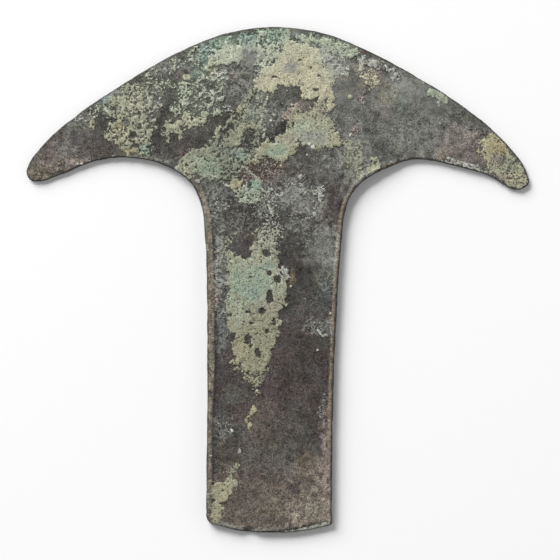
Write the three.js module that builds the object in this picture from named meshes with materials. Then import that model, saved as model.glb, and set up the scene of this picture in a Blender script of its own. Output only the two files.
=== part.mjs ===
// An axe money: a thin T-shaped sheet of hammered copper alloy, lying on its flat back.
// +X runs to the right wing, +Y from the butt to the cutting edge, +Z up through the sheet.
// The origin is below the middle of the outline, on the underside. Lengths are in millimetres.

import * as THREE from "three";
import { mergeVertices } from "three/addons/utils/BufferGeometryUtils.js";

// Driving dimensions of the outline

const BLADE_SPAN = 150.6; // from wing tip to wing tip
const BLADE_HEIGHT = 65.4; // from the neck up to the crown of the cutting edge
const SHANK_LENGTH = 86.3; // from the neck down to the lowest point of the butt
const NECK_WIDTH = 40.8;
const WAIST_WIDTH = 38.1; // halfway down the shank, where it is nearly parallel
const BUTT_WIDTH = 37.8;
const NECK_SHIFT = -1.3; // the shank stands a little left of the blade's middle
const WAIST_SHIFT = -2.1;
const BUTT_SHIFT = -2.6;
const BUTT_BULGE = 2.2; // how far the butt bows out below its corners
const LEFT_CORNER_RADIUS = 3.2; // a worn, round corner
const RIGHT_CORNER_RADIUS = 0.9; // a nearly square corner

// Driving dimensions of the section

const SHANK_THICKNESS = 1.05;
const EDGE_THICKNESS = 0.55; // at the cutting edge
const TAPER_REACH = 46; // how far in from the cutting edge the blade is hammered thin
const RIM_HEIGHT = 0.5; // of the low raised rims, above the face
const RIM_WIDTH = 1.9; // from the outline to the inner foot of a rim
const RIM_CREST = 0.75; // from the outline to the top of a rim
const EDGE_ROUND = 0.28; // how far the face rolls over at the outline

// How finely the sheet is faceted

const FACET_LENGTH = 2.1; // along the outline
const FACET_WIDTH = 4.2; // across the sheet, away from its edges
const CORNER_STEPS = 3; // down each half of a corner of the butt
const CURVE_SAMPLES = 12; // between two key points, where lengths are measured

// Free-form shape of each wing, as shares, from the neck out to the tip. The first number runs out
// from the shank's side, at 0, to the wing's tip, at 1. The second runs up from the neck, at 0, to
// the crown, at 1. The blade isn't symmetric: its right wing hangs a little lower.

const LEFT_WING = {
  underside: [
    [0.028, 0.194],
    [0.093, 0.292],
    [0.227, 0.363],
    [0.423, 0.398],
    [0.616, 0.383],
    [0.822, 0.316],
  ],
  tip: [
    [0.93, 0.289],
    [0.981, 0.299],
    [1, 0.345],
  ],
};
const RIGHT_WING = {
  underside: [
    [0.033, 0.187],
    [0.102, 0.28],
    [0.225, 0.344],
    [0.391, 0.391],
    [0.578, 0.367],
    [0.79, 0.314],
  ],
  tip: [
    [0.93, 0.252],
    [0.998, 0.279],
    [0.985, 0.345],
  ],
};

// The cutting edge from left to right. The first number is a share of half the span, from the
// blade's middle, and the second runs up from the neck, at 0, to the crown, at 1.
const CUTTING_EDGE = [
  [-0.935, 0.46],
  [-0.788, 0.606],
  [-0.601, 0.75],
  [-0.403, 0.88],
  [-0.219, 0.967],
  [-0.032, 1],
  [0.167, 0.976],
  [0.365, 0.888],
  [0.563, 0.765],
  [0.743, 0.633],
  [0.896, 0.483],
];

// The butt's bow between its corners: shares of its width, from its middle, and of its bulge
const BUTT_BOW = [
  [-0.2, 0.8],
  [0, 1],
  [0.24, 0.85],
];

// How far down the shank its widths are measured, as shares of its length
const WAIST_PLACE = 0.45;
const BUTT_PLACE = 0.9;

// The rims run along the shank and round the armpits. They die out along the wings' undersides and
// down the corners of the butt, between the first and the second key point named here.
const RIM_FADES = {
  left: { wing: ["leftUnderside1", "leftUnderside3"], butt: ["leftButt", "leftCornerEnd"] },
  right: { wing: ["rightUnderside1", "rightUnderside3"], butt: ["rightButt", "rightCornerEnd"] },
};

// Outline

function shankSide(side, width, shift) {
  return shift + (side * width) / 2;
}

function wingKeys(side, label, wing) {
  const neckSide = shankSide(side, NECK_WIDTH, NECK_SHIFT);
  const reach = (side * BLADE_SPAN) / 2 - neckSide;
  const place = (part) => (share, index) => ({
    name: label + part + index,
    x: neckSide + share[0] * reach,
    y: share[1] * BLADE_HEIGHT,
  });
  return [...wing.underside.map(place("Underside")), ...wing.tip.map(place("Tip"))];
}

function cuttingEdgeKeys() {
  return CUTTING_EDGE.map((share, index) => ({
    name: "edge" + index,
    x: (share[0] * BLADE_SPAN) / 2,
    y: share[1] * BLADE_HEIGHT,
  }));
}

// One side of the shank, from the neck down and round the butt's corner
function shankKeys(side, label, cornerRadius) {
  const buttX = shankSide(side, BUTT_WIDTH, BUTT_SHIFT);
  const cornerY = BUTT_BULGE - SHANK_LENGTH;
  const diagonal = cornerRadius * (1 - Math.SQRT1_2);
  const waistX = shankSide(side, WAIST_WIDTH, WAIST_SHIFT);
  return [
    { name: label + "Neck", x: shankSide(side, NECK_WIDTH, NECK_SHIFT), y: 0 },
    { name: label + "Waist", x: waistX, y: -WAIST_PLACE * SHANK_LENGTH },
    { name: label + "Butt", x: buttX, y: -BUTT_PLACE * SHANK_LENGTH },
    { name: label + "CornerSide", x: buttX, y: cornerY + cornerRadius },
    { name: label + "Corner", x: buttX - side * diagonal, y: cornerY + diagonal },
    { name: label + "CornerEnd", x: buttX - side * cornerRadius, y: cornerY },
  ];
}

function buttKeys() {
  return BUTT_BOW.map(([across, bow], index) => ({
    name: "bow" + index,
    x: BUTT_SHIFT + across * BUTT_WIDTH,
    y: BUTT_BULGE * (1 - bow) - SHANK_LENGTH,
  }));
}

// The key points of the whole outline, counter-clockwise from the left wing's tip
const keys = [
  ...wingKeys(-1, "left", LEFT_WING).reverse(),
  ...shankKeys(-1, "left", LEFT_CORNER_RADIUS),
  ...buttKeys(),
  ...shankKeys(1, "right", RIGHT_CORNER_RADIUS).reverse(),
  ...wingKeys(1, "right", RIGHT_WING),
  ...cuttingEdgeKeys().reverse(),
];

const outline = new THREE.CatmullRomCurve3(
  keys.map((key) => new THREE.Vector3(key.x, key.y, 0)),
  true,
  "centripetal",
);

// A key point's place on the closed curve, in key points from the first
function keyPlace(name) {
  return keys.findIndex((key) => key.name === name);
}

function pointAt(place) {
  const point = outline.getPoint((place / keys.length) % 1);
  return new THREE.Vector2(point.x, point.y);
}

// Points counter-clockwise along the outline from one key point to another, at shares of its length
function alongOutline(fromKey, toKey, shares) {
  const from = keyPlace(fromKey);
  const span = (keyPlace(toKey) - from + keys.length) % keys.length;
  const samples = [];
  for (let i = 0; i <= span * CURVE_SAMPLES; i++) samples.push(pointAt(from + i / CURVE_SAMPLES));
  const lengths = [0];
  for (let i = 1; i < samples.length; i++) {
    lengths.push(lengths[i - 1] + samples[i].distanceTo(samples[i - 1]));
  }
  const total = lengths[lengths.length - 1];
  return shares.map((share) => {
    const wanted = share * total;
    const next = Math.max(1, lengths.findIndex((length) => length >= wanted - 1e-9));
    const step = (wanted - lengths[next - 1]) / (lengths[next] - lengths[next - 1]);
    return samples[next - 1].clone().lerp(samples[next], step);
  });
}

function outlineLength(fromKey, toKey) {
  const points = alongOutline(fromKey, toKey, evenShares(CURVE_SAMPLES));
  return points.slice(1).reduce((sum, point, i) => sum + point.distanceTo(points[i]), 0);
}

function evenShares(steps) {
  return Array.from({ length: steps + 1 }, (_, i) => i / steps);
}

// Thickness of the sheet

// 1 up to a first key point, 0 past a second one, and a smooth fall between them
function fade(place, [fullKey, goneKey]) {
  const full = keyPlace(fullKey);
  const gone = keyPlace(goneKey);
  return THREE.MathUtils.smoothstep((gone - place) / (gone - full), 0, 1);
}

// The rims' strength on the outline, at a place counted in key points
function rimStrength(place) {
  const fades = place < keyPlace("bow1") ? RIM_FADES.left : RIM_FADES.right;
  return Math.min(fade(place, fades.wing), fade(place, fades.butt));
}

function isCuttingEdge(place) {
  return place >= keyPlace("rightTip2") || place <= keyPlace("leftTip2");
}

// The outline as short straight segments
const segments = [];
for (let i = 0; i < keys.length * CURVE_SAMPLES; i++) {
  const place = i / CURVE_SAMPLES;
  segments.push({
    start: pointAt(place),
    end: pointAt(place + 1 / CURVE_SAMPLES),
    rim: rimStrength(place),
    cutting: isCuttingEdge(place),
  });
}
const cuttingSegments = segments.filter((segment) => segment.cutting);

function distanceToSegment(point, segment) {
  const along = segment.end.clone().sub(segment.start);
  const share = point.clone().sub(segment.start).dot(along) / along.lengthSq();
  const closest = segment.start.clone().addScaledVector(along, THREE.MathUtils.clamp(share, 0, 1));
  return point.distanceTo(closest);
}

function nearest(point, candidates) {
  let best = { distance: Infinity };
  for (const segment of candidates) {
    const distance = distanceToSegment(point, segment);
    if (distance < best.distance) best = { distance, rim: segment.rim };
  }
  return best;
}

// A rim rises from the outline to its crest and falls in a hollow curve to its foot
function rimProfile(distance) {
  const rise = THREE.MathUtils.smoothstep(distance, -RIM_CREST, RIM_CREST);
  const fall = 1 - THREE.MathUtils.smoothstep(distance, RIM_CREST, RIM_WIDTH);
  return Math.min(rise, fall);
}

function faceHeight(point) {
  const edge = nearest(point, segments);
  const reach = nearest(point, cuttingSegments).distance / TAPER_REACH;
  const taper = THREE.MathUtils.smoothstep(reach, -1, 1) * 2 - 1;
  const sheet = THREE.MathUtils.lerp(EDGE_THICKNESS, SHANK_THICKNESS, taper);
  const rim = RIM_HEIGHT * edge.rim * rimProfile(edge.distance);
  const inward = Math.max(0, 1 - edge.distance / EDGE_ROUND);
  return sheet + rim - EDGE_ROUND * inward * inward;
}

// Face, laid out as four patches that share their borders

// Distances from the outline at which a line across the sheet gets a point. The last one past a
// rim clears its foot where the line crosses it at 45 degrees.
const RIM_STATIONS = [
  0,
  EDGE_ROUND,
  RIM_CREST,
  (RIM_CREST + RIM_WIDTH) / 2,
  RIM_WIDTH,
  RIM_WIDTH * Math.SQRT2,
];
const PLAIN_STATIONS = [0, EDGE_ROUND];

// Shares of a line across the sheet: close together over a rim or a rolled edge, even between
function acrossShares(length, startStations, endStations, steps) {
  const start = startStations[startStations.length - 1];
  const end = endStations[endStations.length - 1];
  const squeeze = Math.min(1, length / (2 * (start + end)));
  const inner = length - (start + end) * squeeze;
  const distances = startStations.map((station) => station * squeeze);
  for (let i = 1; i < steps; i++) distances.push(start * squeeze + (inner * i) / steps);
  for (const station of [...endStations].reverse()) distances.push(length - station * squeeze);
  return distances.map((distance) => distance / length);
}

// Straight rows of points across the sheet, one for each pair of points on its two sides
function patch(sideA, sideB, across) {
  return sideA.map((a, i) => {
    const b = sideB[i];
    return across(a.distanceTo(b)).map((share) => a.clone().lerp(b, share));
  });
}

// The last row gives way to a curve on the outline, and to a row just inside it, where the face
// begins to roll over. The curve is a function of the row's shares.
function endOnCurve(rows, across, curve) {
  const chord = rows.pop();
  const last = curve(across(chord[0].distanceTo(chord[chord.length - 1])));
  const inner = rows[rows.length - 1];
  const inset = last.map((point, i) => {
    const step = Math.min(EDGE_ROUND / point.distanceTo(inner[i]), 0.5);
    return point.clone().lerp(inner[i], step);
  });
  return [...rows, inset, last];
}

const leftArmpit = pointAt(keyPlace("leftUnderside1"));
const rightArmpit = pointAt(keyPlace("rightUnderside1"));
const leftShoulder = "edge3"; // the cutting edge above the left armpit
const rightShoulder = "edge7"; // and above the right one

const bladeDepth = pointAt(keyPlace("edge5")).y - leftArmpit.y;
const bladeSteps = Math.round(bladeDepth / FACET_WIDTH);
const shankSteps = Math.round(leftArmpit.distanceTo(rightArmpit) / FACET_WIDTH);
const bladeAcross = (length) => acrossShares(length, RIM_STATIONS, PLAIN_STATIONS, bladeSteps);
const shankAcross = (length) => acrossShares(length, RIM_STATIONS, RIM_STATIONS, shankSteps);

function facetShares(fromKey, toKey) {
  return evenShares(Math.round(outlineLength(fromKey, toKey) / FACET_LENGTH));
}

// Each wing's rows run from the shoulder out to the tip, across from the underside to the edge
function leftWingPatch() {
  const shares = facetShares("leftTip0", "leftUnderside1");
  const rows = patch(
    alongOutline("leftTip0", "leftUnderside1", shares).reverse(),
    alongOutline(leftShoulder, "leftTip2", shares),
    bladeAcross,
  );
  const tip = (row) => alongOutline("leftTip2", "leftTip0", row.map((share) => 1 - share));
  return endOnCurve(rows, bladeAcross, tip).reverse();
}

function rightWingPatch() {
  const shares = facetShares("rightUnderside1", "rightTip0");
  const rows = patch(
    alongOutline("rightUnderside1", "rightTip0", shares),
    alongOutline("rightTip2", rightShoulder, shares).reverse(),
    bladeAcross,
  );
  return endOnCurve(rows, bladeAcross, (row) => alongOutline("rightTip0", "rightTip2", row));
}

function middlePatch() {
  const shares = shankAcross(leftArmpit.distanceTo(rightArmpit));
  return patch(
    shares.map((share) => leftArmpit.clone().lerp(rightArmpit, share)),
    alongOutline(rightShoulder, leftShoulder, shares.map((share) => 1 - share)),
    bladeAcross,
  );
}

// The shank's rows run down from the armpits, close together where its corners turn
function shankPatch() {
  const shares = facetShares("leftUnderside1", "leftCornerSide");
  const corner = evenShares(CORNER_STEPS);
  const leftSide = [
    ...alongOutline("leftUnderside1", "leftCornerSide", shares),
    ...alongOutline("leftCornerSide", "leftCorner", corner).slice(1),
  ];
  const rightSide = [
    ...alongOutline("rightCorner", "rightCornerSide", corner),
    ...alongOutline("rightCornerSide", "rightUnderside1", shares).slice(1),
  ].reverse();
  const rows = patch(leftSide, rightSide, shankAcross);
  return endOnCurve(rows, shankAcross, (row) => alongOutline("leftCorner", "rightCorner", row));
}

// Closed solid: the face, the wall below its outline, and the flat underside

function buildFace(patches) {
  const positions = [];
  const triangles = [];
  for (const rows of patches) {
    const start = positions.length / 3;
    const width = rows[0].length;
    for (const point of rows.flat()) positions.push(point.x, point.y, faceHeight(point));
    for (let i = 0; i + 1 < rows.length; i++) {
      for (let j = 0; j + 1 < width; j++) {
        const a = start + i * width + j;
        const b = a + width;
        triangles.push(a, b, b + 1, a, b + 1, a + 1);
      }
    }
  }
  const face = new THREE.BufferGeometry();
  face.setAttribute("position", new THREE.Float32BufferAttribute(positions, 3));
  face.setIndex(triangles);
  return mergeVertices(face, 1e-3);
}

// The face's outer vertices in order: the edges that only one triangle has
function rimLoop(face) {
  const index = face.index.array;
  const after = new Map();
  const seen = new Set();
  for (let i = 0; i < index.length; i += 3) {
    for (let j = 0; j < 3; j++) seen.add(index[i + j] + "," + index[i + ((j + 1) % 3)]);
  }
  for (const edge of seen) {
    const [from, to] = edge.split(",").map(Number);
    if (!seen.has(to + "," + from)) after.set(from, to);
  }
  const first = after.keys().next().value;
  const loop = [first];
  for (let next = after.get(first); next !== first; next = after.get(next)) loop.push(next);
  return loop;
}

function buildSolid() {
  const face = buildFace([leftWingPatch(), middlePatch(), rightWingPatch(), shankPatch()]);
  const positions = Array.from(face.attributes.position.array);
  const triangles = Array.from(face.index.array);
  const loop = rimLoop(face);
  const below = positions.length / 3;
  for (const vertex of loop) positions.push(positions[vertex * 3], positions[vertex * 3 + 1], 0);
  loop.forEach((vertex, i) => {
    const next = (i + 1) % loop.length;
    triangles.push(vertex, below + i, below + next, vertex, below + next, loop[next]);
  });
  const contour = loop.map(
    (vertex) => new THREE.Vector2(positions[vertex * 3], positions[vertex * 3 + 1]),
  );
  for (const [a, b, c] of THREE.ShapeUtils.triangulateShape(contour, [])) {
    triangles.push(below + a, below + c, below + b);
  }
  const solid = new THREE.BufferGeometry();
  solid.setAttribute("position", new THREE.Float32BufferAttribute(positions, 3));
  solid.setIndex(triangles);
  solid.computeVertexNormals();
  return solid;
}

const patina = new THREE.MeshStandardMaterial({
  color: "#5f5a50",
  roughness: 0.72,
  metalness: 0.35,
});

const axeMoney = new THREE.Mesh(buildSolid(), patina);
axeMoney.name = "axe_money";

// The outline's middle goes over the origin
axeMoney.geometry.computeBoundingBox();
const middle = axeMoney.geometry.boundingBox.getCenter(new THREE.Vector3());
axeMoney.geometry.translate(-middle.x, -middle.y, 0);

const part = new THREE.Group();
part.add(axeMoney);
export default part;
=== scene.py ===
import bpy
import numpy as np
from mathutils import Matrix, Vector, kdtree
from mathutils.bvhtree import BVHTree
from mathutils.geometry import delaunay_2d_cdt


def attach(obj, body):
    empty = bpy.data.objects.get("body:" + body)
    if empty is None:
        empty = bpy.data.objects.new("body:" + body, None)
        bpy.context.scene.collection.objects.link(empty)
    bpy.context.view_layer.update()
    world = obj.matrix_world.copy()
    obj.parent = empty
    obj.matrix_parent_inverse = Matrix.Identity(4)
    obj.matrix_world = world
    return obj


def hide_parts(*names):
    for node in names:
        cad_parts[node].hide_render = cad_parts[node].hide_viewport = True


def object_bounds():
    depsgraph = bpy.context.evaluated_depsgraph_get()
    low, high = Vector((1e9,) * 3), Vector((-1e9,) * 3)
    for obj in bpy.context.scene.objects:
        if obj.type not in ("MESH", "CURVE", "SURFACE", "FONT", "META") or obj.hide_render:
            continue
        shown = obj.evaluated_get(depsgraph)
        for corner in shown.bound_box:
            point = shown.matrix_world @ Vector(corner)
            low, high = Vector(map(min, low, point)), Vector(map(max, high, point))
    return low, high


# An axe money, lying on its back: a thin sheet of hammered copper under a patina of dark oxides,
# with crusts of olive, cream and turquoise minerals that stand a little proud of it.
# Lengths are in millimetres up to the point where a mesh, a lamp or the camera is made.
# Places on the face are pixels of the photograph, over which the patina is laid out.

MM = 0.001
PIXEL = 0.3  # of the part, in mm, for each pixel of the photograph
PHOTO_WIDTH = 560  # in pixels, and as high
PHOTO_MIDDLE = (277.8, 279.8)  # the pixel that lies over the part's origin

# Sheet

FACE_SPACING = 0.36  # between neighbouring points of the face
BACK_SPACING = 1.0
OUTLINE_SPACING = 0.36
JITTER = 0.22  # of a spacing, so that no lattice shows
EDGE_SECTION = [  # how the edge turns over: inset from the outline, share of the face's height
    (0.42, 1.0),
    (0.2, 0.95),
    (0.06, 0.8),
    (0.0, 0.5),
    (0.03, 0.2),
    (0.14, 0.0),
]
RAGGED_EDGE = 0.2  # how far wear eats into the outline
LEAST_THICKNESS = 0.3
HAMMER_DEPTH = 0.05
GRAIN_DEPTH = 0.02
CRUST_HEIGHT = 0.16
BACK_PIT_DEPTH = 0.12
BUTT_CHIP = (249.5, 529, 6, 2.2)  # middle and half widths of a bite out of the butt, in pixels
CHIP_DEPTH = 0.45
BUTT_FACING = -0.7  # an outline that faces further down the part than this is the butt's
LIP_COLUMNS = (262, 316)  # pixel columns between which the butt's lower layer comes to show
LIP_WIDTH = 1.5
LIP_HEIGHT = 1.0
LIP_TOP = -65.0  # the lower layer is sought below this height on the part

# Noise by name: size in mm of its features, octaves and seed
NOISES = {
    "edge wear": (5.0, 4, 11),
    "ragged borders": (2.2, 3, 21),
    "crust net": (1.4, 2, 31),  # the net that the crusts' holes and branches follow
    "thin crust": (3.2, 3, 35),
    "torn crust": (4.0, 4, 37),
    "ground drift": (14.0, 3, 41),
    "ground patches": (6.0, 3, 45),
    "mottling": (2.6, 3, 47),
    "dust": (7.0, 2, 51),
    "clouds": (5.0, 4, 53),
    "haze": (3.0, 3, 57),
    "lip": (1.2, 3, 61),
    "hammering": (7.0, 2, 71),
    "grain": (0.9, 2, 75),
    "back hollows": (9.0, 3, 91),
    "back pits": (2.6, 2, 95),
    "back net": (3.2, 2, 101),
    "back crusts": (18.0, 3, 105),
    "back greens": (22.0, 2, 111),
    "back drift": (16.0, 3, 115),
}
JITTER_SEEDS = (81, 83)

# Patina

RAGGED_CRUST = 1.2  # how far a crust's border strays from the outline given below
STAIN = 0.25  # how much of a crust's colour the ground in its gaps takes on
STAIN_SHADE = 0.62  # how light that colour is there
HOLE_SHADE = 0.45  # how much darker the ground is in a hole
THREAD_WIDTH = 0.32
THREAD_COVER = 0.72
THREAD_TINT = 0.6
LEFT_NET = (228, 246)  # pixel columns between which the open net of the left crusts closes
LEFT_NET_FOOT = 24  # the height on the part where that net ends
TIP_NET = (470, 490)  # pixel columns between which the net closes towards the right tip
# The left crest's paler tan is partly its own colour and partly a painted highlight where it faces the
# light
RIMS = [  # crest's colour, side, widest crest in mm, and how far below the middle it narrows
    ("rim tan", -1, 1.8, 26),
    ("rim brown", 1, 1.2, 44),
]
RIM_TOP = (-32, -20)  # between these the crests come to show. Below the middle is above 0 here
RIM_NARROWING = 14
BUTT_START = (66, 70)  # distances below the middle between which the butt begins

COLOURS = {  # as they look in daylight, red, green and blue of 255
    "umber": (70, 67, 61),
    "purple brown": (74, 65, 63),
    "earth": (94, 85, 79),
    "stone": (104, 104, 99),
    "blue grey": (80, 84, 83),
    "dark": (54, 52, 48),
    "black": (38, 36, 32),
    "grey": (112, 112, 106),
    "haze": (136, 137, 131),
    "green grey": (90, 95, 83),
    "rust": (92, 74, 60),
    "red brown": (88, 68, 64),
    "tan": (130, 120, 103),
    "rim brown": (110, 98, 82),
    "rim tan": (158, 148, 128),
    "pink tan": (140, 129, 120),
    "olive": (146, 146, 125),
    "dull olive": (124, 129, 113),
    "cream": (176, 173, 148),
    "yellow": (158, 153, 126),
    "ochre": (142, 132, 100),
    "pale green": (156, 163, 143),
    "sage": (172, 177, 158),
    "turquoise": (132, 150, 132),
    "blue green": (126, 145, 138),
    "pale grey": (158, 159, 150),
    "white": (208, 208, 200),
}

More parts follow.
